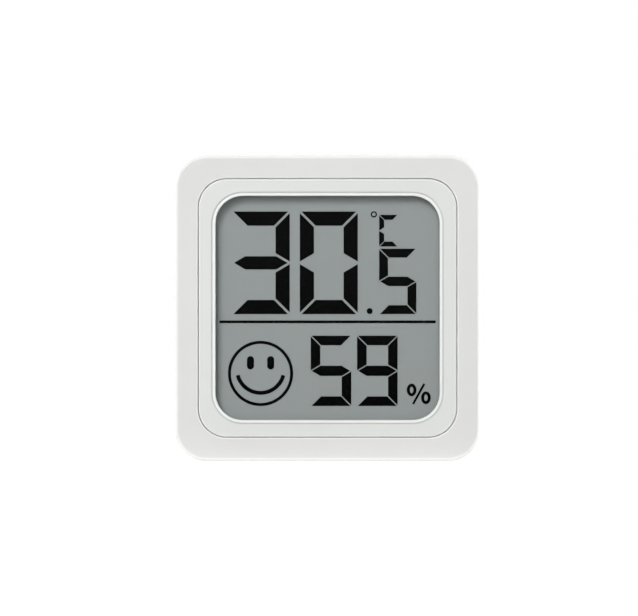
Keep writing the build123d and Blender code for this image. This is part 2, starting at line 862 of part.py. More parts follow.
# Rear housing: back plate, battery well, clamp posts, tongue, vents and button collar
with BuildPart() as rear_housing:
    with BuildSketch(facing(split_level)):
        RectangleRounded(width, height, corner_radius)
    extrude(amount=-(depth - split_level))
    fillet(rear_housing.faces().sort_by(Axis.Y)[-1].edges(), rear_rounding)
    fillet(rear_housing.faces().sort_by(Axis.Y)[0].edges(), parting_rounding)
    with BuildSketch(facing(tongue_level)):
        RectangleRounded(tongue_width, tongue_height, tongue_radius)
    extrude(amount=-(rear_plate_level - tongue_level))
    with BuildSketch(facing(snap_level - snap_width / 2)):
        for side in (-1, 1):
            for place in (-snap_offset, snap_offset):
                with Locations((side * tongue_width / 2, place)):
                    Rectangle(2 * snap_rise, snap_length)
                with Locations((place, side * tongue_height / 2)):
                    Rectangle(snap_length, 2 * snap_rise)
    extrude(amount=-snap_width)
    with BuildSketch(facing(tongue_level)):
        RectangleRounded(housing_width, housing_height, housing_radius)
    extrude(amount=-(rear_plate_level - tongue_level), mode=Mode.SUBTRACT)
    with BuildSketch(facing(ring_level)):
        with Locations((0, cell_rise)):
            Circle(ring_radius)
    extrude(amount=-(rear_plate_level - ring_level))
    with BuildSketch(facing(well_floor_level)):
        with Locations((0, cell_rise)):
            Circle(bore_radius + well_wall)
    extrude(amount=-(rear_plate_level - well_floor_level))
    with BuildSketch(facing(board_back_level)):
        post_x_offset = inner_width - 2 * post_inset
        post_z_offset = inner_height - 2 * post_inset
        with GridLocations(post_x_offset, post_z_offset, 2, 2):
            Circle(post_radius)
    extrude(amount=-(rear_plate_level - board_back_level))
    with BuildSketch(facing(collar_level)):
        with Locations((button_x, button_z)):
            Circle(button_hole_radius + collar_wall)
    extrude(amount=-collar_length)
    with BuildSketch(facing(well_level)):
        with Locations((0, cell_rise)):
            Circle(bore_radius)
    extrude(amount=-(depth - well_level), mode=Mode.SUBTRACT)
    with BuildSketch(facing(counterbore_level)):
        with Locations((0, cell_rise)):
            Circle(counterbore_radius)
    extrude(amount=-(depth - counterbore_level), mode=Mode.SUBTRACT)
    with BuildSketch(facing(door_level)):
        with Locations((0, cell_rise)):
            Circle(recess_radius)
    extrude(amount=-door_thickness, mode=Mode.SUBTRACT)
    for angle in lug_angles:
        lug_start = angle + lug_arc / 2 + lug_play_arc
        with BuildSketch(radial(lug_start)):
            with Locations((bore_radius, counterbore_level)):
                Rectangle(
                    groove_radius - bore_radius,
                    groove_end_level - counterbore_level,
                    align=(Align.MIN, Align.MIN),
                )
        revolve(
            axis=cell_axis,
            revolution_arc=lug_arc + door_turn + 2 * lug_play_arc,
            mode=Mode.SUBTRACT,
        )
        with BuildSketch(radial(lug_start - door_turn)):
            with Locations((bore_radius, counterbore_level)):
                Rectangle(
                    groove_radius - bore_radius,
                    door_level - counterbore_level,
                    align=(Align.MIN, Align.MIN),
                )
        revolve(axis=cell_axis, revolution_arc=lug_arc + 2 * lug_play_arc, mode=Mode.SUBTRACT)
    with BuildSketch(facing(collar_level)):
        with Locations((button_x, button_z)):
            Circle(button_hole_radius)
    extrude(amount=-(depth - collar_level), mode=Mode.SUBTRACT)
    with BuildSketch(facing(rear_plate_level)):
        with Locations((-vent_x, vent_z)):
            with GridLocations(vent_pitch, vent_pitch, vent_count, 1):
                SlotOverall(vent_length, vent_width, rotation=90)
    extrude(amount=-rear_wall, mode=Mode.SUBTRACT)
    with BuildSketch(facing(well_floor_level)):
        with Locations((negative_neck_x, cell_rise)):
            Rectangle(
                contact_thickness + 2 * contact_slot_play, negative_width + 2 * contact_slot_play
            )
    extrude(amount=-well_floor, mode=Mode.SUBTRACT)
    with BuildSketch(facing(well_level)):
        with Locations((-(bore_radius + well_wall / 2), cell_rise)):
            Rectangle(2 * well_wall, positive_width + 2 * contact_slot_play)
    extrude(amount=-(ring_level - well_level), mode=Mode.SUBTRACT)
    with BuildSketch(facing(depth)):
        for turn in (closed_angle, open_angle):
            with Locations((mark_ring * math.cos(turn), cell_rise + mark_ring * math.sin(turn))):
                Circle(mark_radius)
        with Locations(
            (mark_ring * math.cos(open_angle), cell_rise + mark_ring * math.sin(open_angle))
        ):
            Circle(mark_radius / 2, mode=Mode.SUBTRACT)
    extrude(amount=mark_depth, mode=Mode.SUBTRACT)
rear_housing.part.label = "rear_housing"
export_step(rear_housing.part, "parts/rear_housing.step")

# Battery door: disc with a coin slot, skirt round the cell and lugs under the ledge
with BuildPart() as battery_door:
    with BuildSketch(facing(door_level)):
        with Locations((0, cell_rise)):
            Circle(door_radius)
    extrude(amount=-door_thickness)
    fillet(battery_door.faces().sort_by(Axis.Y)[-1].edges(), door_rounding)
    with BuildSketch(facing(skirt_level)):
        with Locations((0, cell_rise)):
            Circle(skirt_radius)
            Circle(bore_radius, mode=Mode.SUBTRACT)
    extrude(amount=-skirt_length)
    for angle in lug_angles:
        with BuildSketch(radial(angle + lug_arc / 2)):
            with Locations((bore_radius, skirt_level)):
                Rectangle(
                    lug_radius - bore_radius,
                    lug_end_level - skirt_level,
                    align=(Align.MIN, Align.MIN),
                )
        revolve(axis=cell_axis, revolution_arc=lug_arc)
    with BuildSketch(facing(depth)):
        with Locations((0, cell_rise)):
            SlotOverall(coin_slot_length, coin_slot_width)
    extrude(amount=coin_slot_depth, mode=Mode.SUBTRACT)
    with BuildSketch(facing(depth)):
        with Locations((0, cell_rise + door_radius - mark_inset)):
            Circle(mark_radius)
    extrude(amount=mark_depth, mode=Mode.SUBTRACT)
battery_door.part.label = "battery_door"
export_step(battery_door.part, "parts/battery_door.step")

# Switch under the button
switch_top_level = board_back_level + switch_base_height
plunger_head_level = switch_top_level - plunger_head_height - dome_foot_gap
plunger_end_level = switch_top_level + switch_cover_thickness + plunger_height
switch_floor_level = switch_top_level - switch_well_depth

with BuildPart() as switch_base:
    with BuildSketch(facing(board_back_level)):
        with Locations((button_x, button_z)):
            Rectangle(switch_size, switch_size)
    extrude(amount=-switch_base_height)
    with BuildSketch(facing(switch_floor_level)):
        with Locations((button_x, button_z)):
            Circle(switch_well_radius)
    extrude(amount=-switch_well_depth, mode=Mode.SUBTRACT)
switch_base.part.label = "switch_base"
export_step(switch_base.part, "parts/switch_base.step")

with BuildPart() as switch_cover:
    with BuildSketch(facing(switch_top_level - switch_cover_skirt)):
        with Locations((button_x, button_z)):
            Rectangle(
                switch_size + 2 * switch_cover_thickness, switch_size + 2 * switch_cover_thickness
            )
            Rectangle(switch_size, switch_size, mode=Mode.SUBTRACT)
    extrude(amount=-switch_cover_skirt)
    with BuildSketch(facing(switch_top_level)):
        with Locations((button_x, button_z)):
            Rectangle(
                switch_size + 2 * switch_cover_thickness, switch_size + 2 * switch_cover_thickness
            )
            Circle(plunger_radius + plunger_clearance, mode=Mode.SUBTRACT)
    extrude(amount=-switch_cover_thickness)
switch_cover.part.label = "switch_cover"
export_step(switch_cover.part, "parts/switch_cover.step")

with BuildPart() as switch_plunger:
    with BuildSketch(facing(plunger_head_level)):
        with Locations((button_x, button_z)):
            Circle(plunger_head_radius)
    extrude(amount=-plunger_head_height)
    with BuildSketch(facing(plunger_head_level + plunger_head_height)):
        with Locations((button_x, button_z)):
            Circle(plunger_radius)
    extrude(amount=-(plunger_end_level - plunger_head_level - plunger_head_height))
switch_plunger.part.label = "switch_plunger"
export_step(switch_plunger.part, "parts/switch_plunger.step")

# Snap dome on the floor of the switch, turned from its arched section
dome_foot = switch_well_radius - dome_foot_gap
dome_crown_level = plunger_head_level - button_travel - dome_foot_gap - dome_thickness
button_axis = Axis((button_x, 0, middle_z + button_z), (0, 1, 0))
with BuildPart() as switch_dome:
    with BuildSketch(
        Plane(
            origin=(button_x, -depth / 2, middle_z + button_z), x_dir=(1, 0, 0), z_dir=(0, 0, 1)
        )
    ):
        with BuildLine():
            outer = TangentArc(
                (0, dome_crown_level + dome_thickness), (dome_foot, switch_floor_level), tangent=(1, 0)
            )
            inner = TangentArc(
                (0, dome_crown_level),
                (dome_foot - dome_thickness, switch_floor_level),
                tangent=(1, 0),
            )
            Line(outer @ 0, inner @ 0)
            Line(outer @ 1, inner @ 1)
        make_face()
    revolve(axis=button_axis)
switch_dome.part.label = "switch_dome"
export_step(switch_dome.part, "parts/switch_dome.step")

# Button: cap in the back plate, flange behind the collar, stem down to the plunger
flange_end_level = collar_level - button_flange_gap
flange_start_level = flange_end_level - button_flange
with BuildPart() as unit_button:
    with BuildSketch(facing(flange_start_level)):
        with Locations((button_x, button_z)):
            Circle(button_radius)
    extrude(amount=-(depth - button_recess - flange_start_level))
    fillet(unit_button.faces().sort_by(Axis.Y)[-1].edges(), button_rounding)
    with BuildSketch(facing(flange_start_level)):
        with Locations((button_x, button_z)):
            Circle(button_radius + button_flange_rise)
    extrude(amount=-button_flange)
    with BuildSketch(facing(plunger_end_level)):
        with Locations((button_x, button_z)):
            Circle(button_stem_radius)
    extrude(amount=-(flange_start_level - plunger_end_level))
unit_button.part.label = "unit_button"
export_step(unit_button.part, "parts/unit_button.step")
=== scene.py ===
import math

import bmesh
import bpy
from bpy.props import FloatProperty, FloatVectorProperty, PointerProperty
from mathutils import Matrix, Vector


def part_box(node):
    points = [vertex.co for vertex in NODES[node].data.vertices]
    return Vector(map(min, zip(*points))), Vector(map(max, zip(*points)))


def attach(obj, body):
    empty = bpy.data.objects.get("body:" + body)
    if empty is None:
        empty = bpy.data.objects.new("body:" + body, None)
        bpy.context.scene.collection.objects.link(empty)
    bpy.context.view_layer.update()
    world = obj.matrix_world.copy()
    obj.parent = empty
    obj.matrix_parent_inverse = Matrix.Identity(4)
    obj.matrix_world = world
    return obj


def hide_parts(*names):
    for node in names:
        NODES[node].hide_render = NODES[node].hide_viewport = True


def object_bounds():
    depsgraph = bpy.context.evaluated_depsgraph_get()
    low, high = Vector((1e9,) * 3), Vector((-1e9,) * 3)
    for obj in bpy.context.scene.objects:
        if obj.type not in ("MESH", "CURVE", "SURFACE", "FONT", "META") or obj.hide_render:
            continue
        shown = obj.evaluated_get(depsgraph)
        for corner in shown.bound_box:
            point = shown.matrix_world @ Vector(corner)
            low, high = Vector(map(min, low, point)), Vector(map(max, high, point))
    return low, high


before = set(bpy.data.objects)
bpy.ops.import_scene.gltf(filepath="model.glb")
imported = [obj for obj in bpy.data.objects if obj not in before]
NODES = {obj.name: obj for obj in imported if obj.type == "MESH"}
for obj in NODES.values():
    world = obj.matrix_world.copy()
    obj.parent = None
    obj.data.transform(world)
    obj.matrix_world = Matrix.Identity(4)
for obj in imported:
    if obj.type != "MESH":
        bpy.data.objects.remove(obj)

bl_info = {
    "name": "Temperature Humidity Sensor",
    "version": (1, 0, 0),
    "blender": (4, 5, 0),
    "location": "View3D > Sidebar > Sensor",
    "description": "Finishes, small pieces and studio for a square temperature and humidity sensor",
    "category": "Object",
}

CAD_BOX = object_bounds()
MM = 0.001

# Corners closer than this are one corner
WELD = 0.001 * MM

# How far the bezel covers the rim of the window, and the corner radius of its opening
WINDOW_OVERLAP = 0.9 * MM
WINDOW_RADIUS = 3.85 * MM

# Colour sockets of the mix node
MIX_FIRST = 6
MIX_SECOND = 7
MIX_RESULT = 2

# Most of a noise texture lies between these values
NOISE_LOW = 0.3
NOISE_HIGH = 0.7

# Waves a metre of the patches of edge polish with painted highlight and of dust, the smears and the
# liquid crystal's bloom
PATCHES = 900.0
SMEARS = 160.0
BLOOM = 700.0

# Cells a metre of the board's tracks, its through holes and its glass weave
TRACKS = 620.0
HOLES = 400.0
WEAVE = 2200.0

# Depth of the lines in metal, of the layers of a rubber strip and of the board's tracks
METAL_DEPTH = 0.001 * MM
LAYER_DEPTH = 0.004 * MM
TRACK_DEPTH = 0.03 * MM

# Length of one black and one clear layer of a rubber strip
LAYER_PITCH = 0.25 * MM

# How much smoother the rounded edges are, and the clear coat that makes the lip shine
EDGE_SMOOTHING = 0.25
LIP_COAT = 0.25
LIP_COAT_ROUGHNESS = 0.3

# Shares by which the colour of moulded plastic changes: mottle, a painted highlight on the edges,
# dust, and painted shade in the groove
MOTTLE_DARK = 0.985
MOTTLE_LIGHT = 1.01
PAINTED_EDGE_HIGHLIGHT = 1.24
DUST_DARK = 0.7
PAINTED_GROOVE_SHADE = 0.3

# Refraction of the case plastic and of the clear sheets
PLASTIC_IOR = 1.49
SHEET_IOR = 1.5

# Width of the camera's sensor in millimetres
SENSOR_WIDTH = 36.0


# Properties


def colour_property(name, description, default):
    """A linear colour that the user can change."""
    return FloatVectorProperty(
        name=name, description=description, default=default, subtype="COLOR", min=0.0, max=1.0
    )


def length_property(name, description, default):
    """A length in metres."""
    return FloatProperty(
        name=name, description=description, default=default, unit="LENGTH", precision=6, min=0.0
    )


def share_property(name, description, default):
    """A share between nought and one."""
    return FloatProperty(
        name=name, description=description, default=default, subtype="FACTOR", min=0.0, max=1.0
    )


def factor_property(name, description, default):
    """A factor that may be over one."""
    return FloatProperty(
        name=name, description=description, default=default, subtype="FACTOR", min=0.0, soft_max=2.0
    )


def angle_property(name, description, default):
    """An angle, given in degrees."""
    return FloatProperty(
        name=name, description=description, default=math.radians(default), subtype="ANGLE"
    )


def power_property(name, description, default):
    """The power of a lamp in watts."""
    return FloatProperty(
        name=name, description=description, default=default, unit="POWER", min=0.0
    )


class SensorColours(bpy.types.PropertyGroup):
    """Colours of the plastics, the display and the metals."""

    shell: colour_property("Shell", "White plastic of the case", (0.792, 0.792, 0.775))
    bezel: colour_property("Bezel", "White plastic of the display's bezel", (0.785, 0.8, 0.782))
    door: colour_property("Door", "White plastic of the battery door", (0.77, 0.77, 0.752))
    button: colour_property("Button", "Light grey plastic of the button", (0.5, 0.51, 0.515))
    ground: colour_property(
        "Display ground", "Grey reflector behind the display's marks", (0.316, 0.344, 0.337)
    )
    mark: colour_property(
        "Display marks", "Dark liquid crystal of the digits and signs", (0.0005, 0.0008, 0.0007)
    )
    board: colour_property("Board", "Solder mask of the circuit board", (0.012, 0.085, 0.035))
    copper: colour_property("Pads", "Gilt pads round the board's holes", (0.62, 0.42, 0.16))
    steel: colour_property("Steel", "Nickel plated steel", (0.56, 0.55, 0.53))
    epoxy: colour_property("Chip", "Black epoxy of the chips", (0.018, 0.018, 0.02))


class SensorFinish(bpy.types.PropertyGroup):
    """Sizes and strengths of the surface textures."""

    grain: length_property("Grain", "Size of the moulded grain", 0.16 * MM)
    grain_depth: length_property("Grain depth", "Height of the moulded grain", 0.006 * MM)
    sink: length_property("Sink", "Size of the slow waves in the plastic", 9.0 * MM)
    sparkle: length_property("Sparkle", "Size of the reflector's grain", 0.05 * MM)
    # Makes the rounded edges smoother, and whitens them with a painted highlight
    polish_and_highlight: share_property(
        "Edge polish", "How much whiter and smoother the rounded edges are", 0.85
    )
    lip: length_property("Lip", "Width of the polished lip around the window", 0.36 * MM)
    # How much the lip is whitened by a painted highlight
    painted_lip_highlight: factor_property("Lip white", "How much whiter the lip is than the bezel", 1.18)
    groove: length_property("Groove", "Distance of the fine groove from the window", 0.48 * MM)
    # The fine groove is darkened by painted shade, over this width and by this share
    groove_width: length_property("Groove width", "Width of the dusty groove", 0.2 * MM)
    groove_painted_shade: share_property("Groove dust", "How much dust lies in the groove", 0.35)
    dust: share_property("Dust", "How much fine dust lies on the upper sides", 0.12)


class SensorStage(bpy.types.PropertyGroup):
    """Camera, lamps and floor."""

    lens: FloatProperty(
        name="Lens", description="Focal length in mm", default=200.0, min=20.0, unit="CAMERA"
    )
    frame_width: length_property("Frame width", "Width of the picture at the front", 89.32 * MM)
    frame_offset: length_property(
        "Offset", "How far right of the picture's middle the sensor stands", 1.205 * MM
    )
    frame_drop: length_property("Drop", "How far the camera stands below the middle", 0.0)
    floor_size: length_property("Floor", "Width of the floor", 3.0)
    paper: colour_property("Paper", "Colour of the floor in the lamps' light", (0.3, 0.3, 0.3))
    glow: share_property("Glow", "How white the floor looks to the camera by itself", 0.93)
    table: share_property("Table light", "Light that the floor sends up under the sensor", 0.46)
    table_reach: length_property(
        "Table reach", "How far this light reaches to the front and the back", 9.5 * MM
    )
    sky: factor_property("Sky", "Light of the surroundings from the front", 0.19)
    back: share_property("Backdrop", "Light of the surroundings from behind", 0.15)
    key_left: angle_property("Key left", "How far the key lamp stands to the left", 13.0)
    key_up: angle_property("Key up", "How far the key lamp stands up", 18.5)
    rear_left: angle_property("Rear left", "How far the rear lamp stands to the left", 30.0)
    rear_up: angle_property("Rear up", "How far the rear lamp stands up", 35.0)
    key_reach: length_property("Key reach", "Distance of the key, fill and rear lamps", 1.2)
    key_size: length_property("Key size", "Width of the key, fill and rear lamps", 0.34)
    side_reach: length_property("Side reach", "Distance of the side and top lamps", 0.6)
    side_back: length_property(
        "Side setback", "How far the side lamps stand behind the middle", 0.12
    )
    top_back: length_property("Top setback", "How far the top lamp stands behind the middle", 0.2)
    side_size: length_property("Side size", "Width of the side and top lamps", 0.34)
    key: power_property("Key", "Power of the lamp at the upper left of the front", 7.0)
    fill: power_property("Fill", "Power of the lamp straight in front", 5.4)
    rear: power_property("Rear", "Power of the lamp behind", 7.0)
    left: power_property("Left", "Power of the lamp at the left", 2.5)
    right: power_property("Right", "Power of the lamp at the right", 5.6)
    top: power_property("Top", "Power of the lamp above", 1.3)


def settings():
    """The colours and the finish, read from the scene."""
    return bpy.context.scene.sensor_colours, bpy.context.scene.sensor_finish


# Shader building blocks


class Tree:
    """Short names for adding and joining nodes in one node tree."""

    def __init__(self, tree):
        self.tree = tree

    def add(self, kind, **choices):
        """Add a node and set its own choices, such as its operation."""
        node = self.tree.nodes.new(kind)
        for key, value in choices.items():
            setattr(node, key, value)
        return node

    def join(self, source, target):
        """Link an output socket to an input socket."""
        self.tree.links.new(source, target)

    def feed(self, source, target):
        """Link an output socket to an input socket, or set the input to a plain value."""
        if isinstance(source, bpy.types.NodeSocket):
            self.join(source, target)
        else:
            target.default_value = source

    def maths(self, operation, first, second=0.0):
        """A math node on two sockets or numbers; some operations use only the first."""
        node = self.add("ShaderNodeMath", operation=operation)
        self.feed(first, node.inputs[0])
        self.feed(second, node.inputs[1])
        return node.outputs[0]

    def spread(self, value, low, high, out_low=0.0, out_high=1.0):
        """Map a range of a value to another, clamped."""
        node = self.add("ShaderNodeMapRange")
        self.join(value, node.inputs["Value"])
        node.inputs["From Min"].default_value = low
        node.inputs["From Max"].default_value = high
        node.inputs["To Min"].default_value = out_low
        node.inputs["To Max"].default_value = out_high
        return node.outputs["Result"]

    def spread_noise(self, value, out_low=0.0, out_high=1.0):
        """Map the usual range of a noise texture to another range."""
        return self.spread(value, NOISE_LOW, NOISE_HIGH, out_low, out_high)

    def place(self):
        """Where a point lies on the object, in metres."""
        return self.add("ShaderNodeTexCoord").outputs["Object"]

    def parts(self, vector):
        """The X, Y and Z parts of a vector."""
        node = self.add("ShaderNodeSeparateXYZ")
        self.join(vector, node.inputs["Vector"])
        return node.outputs["X"], node.outputs["Y"], node.outputs["Z"]

    def stretch(self, vector, scale):
        """A vector with each part multiplied by its own scale."""
        node = self.add("ShaderNodeMapping")
        node.inputs["Scale"].default_value = scale
        self.join(vector, node.inputs["Vector"])
        return node.outputs["Vector"]

    def noise(self, scale, detail=2.0, roughness=0.5, place=None):
        """Noise with a number of waves a metre."""
        node = self.add("ShaderNodeTexNoise")
        self.feed(scale, node.inputs["Scale"])
        node.inputs["Detail"].default_value = detail
        node.inputs["Roughness"].default_value = roughness
        self.join(place or self.place(), node.inputs["Vector"])
        return node.outputs["Fac"]

    def cells(self, feature, scale, place):
        """The distance value of a cell pattern with a number of cells a metre."""
        node = self.add("ShaderNodeTexVoronoi", feature=feature)
        self.feed(scale, node.inputs["Scale"])
        self.join(place, node.inputs["Vector"])
        return node.outputs["Distance"]

    def blend(self, factor, first, second):
        """A colour mix by a value over the surface; each colour is a socket or three numbers."""
        node = self.add("ShaderNodeMix", data_type="RGBA")
        self.join(factor, node.inputs[0])
        for index, value in ((MIX_FIRST, first), (MIX_SECOND, second)):
            plain = not isinstance(value, bpy.types.NodeSocket)
            self.feed((*value, 1.0) if plain else value, node.inputs[index])
        return node.outputs[MIX_RESULT]


def tint(colour, share):
    """A colour made lighter, or darker where the share is under one."""
    return tuple(min(1.0, part * share) for part in colour)


def clear_tree(owner):
    """The emptied node tree of a material or world."""
    owner.use_nodes = True
    owner.node_tree.nodes.clear()
    return Tree(owner.node_tree)


def new_group(name, inputs, outputs):
    """An empty shader node group whose inputs and outputs are named values."""
    group = bpy.data.node_groups.new(name, "ShaderNodeTree")
    for label, default in inputs:
        socket = group.interface.new_socket(
            name=label, in_out="INPUT", socket_type="NodeSocketFloat"
        )
        socket.default_value = default
    for label in outputs:
        group.interface.new_socket(name=label, in_out="OUTPUT", socket_type="NodeSocketFloat")
    tree = Tree(group)
    given = tree.add("NodeGroupInput").outputs
    result = tree.add("NodeGroupOutput").inputs
    return group, tree, given, result


def grain_group():
    """Spark-eroded mould grain with slow sink marks; puts out height and a mottle value."""
    group, tree, given, result = new_group(
        "moulded_grain", [("Grain", 0.16 * MM), ("Sink", 9.0 * MM)], ["Height", "Mottle"]
    )
    pit_floor, pit_rim = 0.1, 0.8
    place = tree.place()
    grains = tree.maths("DIVIDE", 1.0, given["Grain"])
    waves = tree.maths("DIVIDE", 1.0, given["Sink"])
    fine = tree.noise(grains, detail=3.0, roughness=0.6, place=place)
    pit = tree.spread(tree.cells("SMOOTH_F1", grains, place), pit_floor, pit_rim)
    mixed = tree.maths("MULTIPLY", tree.maths("ADD", fine, pit), 0.5)
    tree.join(mixed, result["Height"])
    tree.join(tree.noise(waves, place=place), result["Mottle"])
    return group


def edge_group():
    """Masks for edges that are rounded towards the front or back, and for settled dust."""
    group, tree, given, result = new_group(
        "edge_and_dust", [("Polish", 0.8), ("Dust", 0.1)], ["Edge", "Settled"]
    )
    # The normal's Y part is nought on the sides and one on the front and back
    side, past_side = 0.02, 0.2
    front, before_front = 0.999, 0.97
    # The normal's Z part where dust begins to stay and where it all stays
    sloping, level = 0.6, 0.95
    clean, dusty = 0.6, 0.72
    turn = tree.add("ShaderNodeTexCoord").outputs["Normal"]
    _, depth, height = tree.parts(turn)
    patch = tree.noise(PATCHES, detail=4.0)
    facing = tree.maths("ABSOLUTE", depth)
    off_side = tree.spread(facing, side, past_side)
    off_front = tree.spread(facing, front, before_front)
    broken = tree.spread_noise(patch, 0.8, 1.0)
    # This edge mask both smooths the rounded edges and carries their painted highlight
    edge = tree.maths("MULTIPLY", tree.maths("MULTIPLY", off_side, off_front), broken)
    tree.join(tree.maths("MULTIPLY", edge, given["Polish"]), result["Edge"])
    upward = tree.spread(height, sloping, level)
    speck = tree.spread(patch, clean, dusty)
    settled = tree.maths("MULTIPLY", tree.maths("MULTIPLY", upward, speck), given["Dust"])
    tree.join(settled, result["Settled"])
    return group


def rim_group():
    """Distance from an upright window with rounded corners, in metres."""
    group, tree, given, result = new_group(
        "window_rim",
        [
            ("Half Width", 15.0 * MM),
            ("Half Height", 15.0 * MM),
            ("Middle Height", 20.0 * MM),
            ("Radius", 1.0 * MM),
        ],
        ["Distance"],
    )
    across, _, height = tree.parts(tree.place())
    up = tree.maths("SUBTRACT", height, given["Middle Height"])
    squares = []
    for value, half in ((across, "Half Width"), (up, "Half Height")):
        core = tree.maths("SUBTRACT", given[half], given["Radius"])
        beyond = tree.maths("SUBTRACT", tree.maths("ABSOLUTE", value), core)
        past = tree.maths("MAXIMUM", beyond, 0.0)
        squares.append(tree.maths("MULTIPLY", past, past))
    reach = tree.maths("SQRT", tree.maths("ADD", *squares))
    tree.join(tree.maths("SUBTRACT", reach, given["Radius"]), result["Distance"])
    return group


GROUP_MAKERS = {
    "moulded_grain": grain_group,
    "edge_and_dust": edge_group,
    "window_rim": rim_group,
}


def group_node(tree, name, **values):
    """Place a shared group with its own values; it is built the first time. Returns its outputs."""
    group = bpy.data.node_groups.get(name) or GROUP_MAKERS[name]()
    node = tree.add("ShaderNodeGroup", node_tree=group)
    for key, value in values.items():
        node.inputs[key].default_value = value
    return node.outputs


def new_material(name):
    """A material with one Principled shader; returns it, its tree and the shader's inputs."""
    material = bpy.data.materials.new(name)
    tree = clear_tree(material)
    shader = tree.add("ShaderNodeBsdfPrincipled")
    out = tree.add("ShaderNodeOutputMaterial")
    tree.join(shader.outputs["BSDF"], out.inputs["Surface"])
    return material, tree, shader.inputs


def add_bump(tree, look, height, depth):
    """Feed a height over the surface to a shader's normal; the depth is in metres."""
    node = tree.add("ShaderNodeBump")
    node.inputs["Distance"].default_value = depth
    tree.join(height, node.inputs["Height"])
    tree.join(node.outputs["Normal"], look["Normal"])


# Materials


def rim_finish(tree, look, base, colour, finish, rim):
    """Whiten the lip of an opening with a painted highlight and give it a clear coat, and paint
    shade into its groove; returns the colour.
    """
    # Softness of the lip's end and reach of the groove's painted shade, as shares of their widths
    softness, groove_reach = 0.12, 0.7
    distance = group_node(tree, "window_rim", **rim)["Distance"]
    lip = tree.spread(distance, finish.lip * (1 + softness), finish.lip * (1 - softness))
    # Painted highlight: the lip is whitened in colour
    white = tree.blend(lip, base, tint(colour, finish.painted_lip_highlight))
    off = tree.maths("ABSOLUTE", tree.maths("SUBTRACT", distance, finish.groove))
    near = tree.spread(off, finish.groove_width * groove_reach, 0.0)
    tree.join(tree.maths("MULTIPLY", lip, LIP_COAT), look["Coat Weight"])
    look["Coat Roughness"].default_value = LIP_COAT_ROUGHNESS
    # Painted shade: the fine groove is darkened in colour
    dust = tree.maths("MULTIPLY", near, finish.groove_painted_shade)
    return tree.blend(dust, white, tint(colour, PAINTED_GROOVE_SHADE))


def moulded_plastic(name, colour, finish, roughness, grain_share=1.0, rim=None):
    """White or grey moulded plastic: fine grain, slow mottle, smoother edges whitened by a painted
    highlight, settled dust.

    A rim gives the half width, half height, middle height and corner radius of an opening whose
    lip gets a clear coat and a painted highlight, and whose fine groove gets painted shade.
    """
    material, tree, look = new_material(name)
    grain = group_node(tree, "moulded_grain", Grain=finish.grain, Sink=finish.sink)
    edges = group_node(tree, "edge_and_dust", Polish=finish.polish_and_highlight, Dust=finish.dust)
    mottle = tree.spread_noise(grain["Mottle"])
    base = tree.blend(mottle, tint(colour, MOTTLE_DARK), tint(colour, MOTTLE_LIGHT))
    # Painted highlight: the rounded edges are whitened in colour
    edged = tree.blend(edges["Edge"], base, tint(colour, PAINTED_EDGE_HIGHLIGHT))
    dust_and_painted_light = tree.blend(edges["Settled"], edged, tint(colour, DUST_DARK))
    if rim:
        dust_and_painted_light = rim_finish(tree, look, dust_and_painted_light, colour, finish, rim)
    tree.join(dust_and_painted_light, look["Base Color"])
    rough = tree.spread(grain["Height"], 0.2, 0.8, roughness - 0.05, roughness + 0.06)
    smoothing = tree.maths("MULTIPLY", edges["Edge"], EDGE_SMOOTHING)
    tree.join(tree.maths("SUBTRACT", rough, smoothing), look["Roughness"])
    look["IOR"].default_value = PLASTIC_IOR
    add_bump(tree, look, grain["Height"], finish.grain_depth * grain_share)
    return material


def clear_sheet(name, colour, facing_alpha, edge_alpha, roughness):
    """Clear plastic or glass in front of the display, denser where it is seen at an angle."""
    material, tree, look = new_material(name)
    smear = tree.noise(SMEARS, detail=3.0)
    tree.join(tree.spread_noise(smear, roughness - 0.02, roughness + 0.03), look["Roughness"])
    turn = tree.add("ShaderNodeLayerWeight")
    turn.inputs["Blend"].default_value = 0.35
    alpha = tree.spread(turn.outputs["Facing"], 0.15, 1.0, facing_alpha, edge_alpha)
    tree.join(alpha, look["Alpha"])
    look["Base Color"].default_value = (*colour, 1.0)
    look["IOR"].default_value = SHEET_IOR
    return material


def display_ground(name, colour, finish):
    """Matt grey reflector with a very fine metallic grain and a slow drift in its colour."""
    material, tree, look = new_material(name)
    grain = tree.noise(1.0 / finish.sparkle)
    slow = tree.noise(1.0 / finish.sink)
    speckled = tree.blend(tree.spread_noise(grain), tint(colour, 0.94), tint(colour, 1.06))
    red, green, blue = colour
    cold = (red * 0.95, green * 1.01, blue * 1.01)
    drift = tree.spread_noise(slow, 0.0, 0.5)
    tree.join(tree.blend(drift, speckled, cold), look["Base Color"])
    tree.join(tree.spread_noise(grain, 0.48, 0.6), look["Roughness"])
    look["Specular IOR Level"].default_value = 0.25
    return material


def display_mark(name, colour):
    """Dark liquid crystal: almost black, with a faint bloom in its colour and roughness."""
    material, tree, look = new_material(name)
    bloom = tree.noise(BLOOM)
    soft = tree.blend(tree.spread_noise(bloom), tint(colour, 0.8), tint(colour, 1.3))
    tree.join(soft, look["Base Color"])
    tree.join(tree.spread_noise(bloom, 0.5, 0.6), look["Roughness"])
    look["Specular IOR Level"].default_value = 0.0
    return material


def metal(name, colour, roughness, stretch, scale=5000.0):
    """Rolled or turned metal: fine lines along the stretched axis and a slow tarnish."""
    material, tree, look = new_material(name)
    place = tree.place()
    lines = tree.noise(scale, detail=4.0, place=tree.stretch(place, stretch))
    stain = tree.noise(scale / 12, place=place)
    tarnish = tree.spread(stain, 0.4, 0.75)
    tree.join(tree.blend(tarnish, colour, tint(colour, 0.8)), look["Base Color"])
    rough = tree.spread(lines, 0.25, 0.75, roughness - 0.08, roughness + 0.12)
    tree.join(rough, look["Roughness"])
    look["Metallic"].default_value = 1.0
    add_bump(tree, look, lines, METAL_DEPTH)
    return material


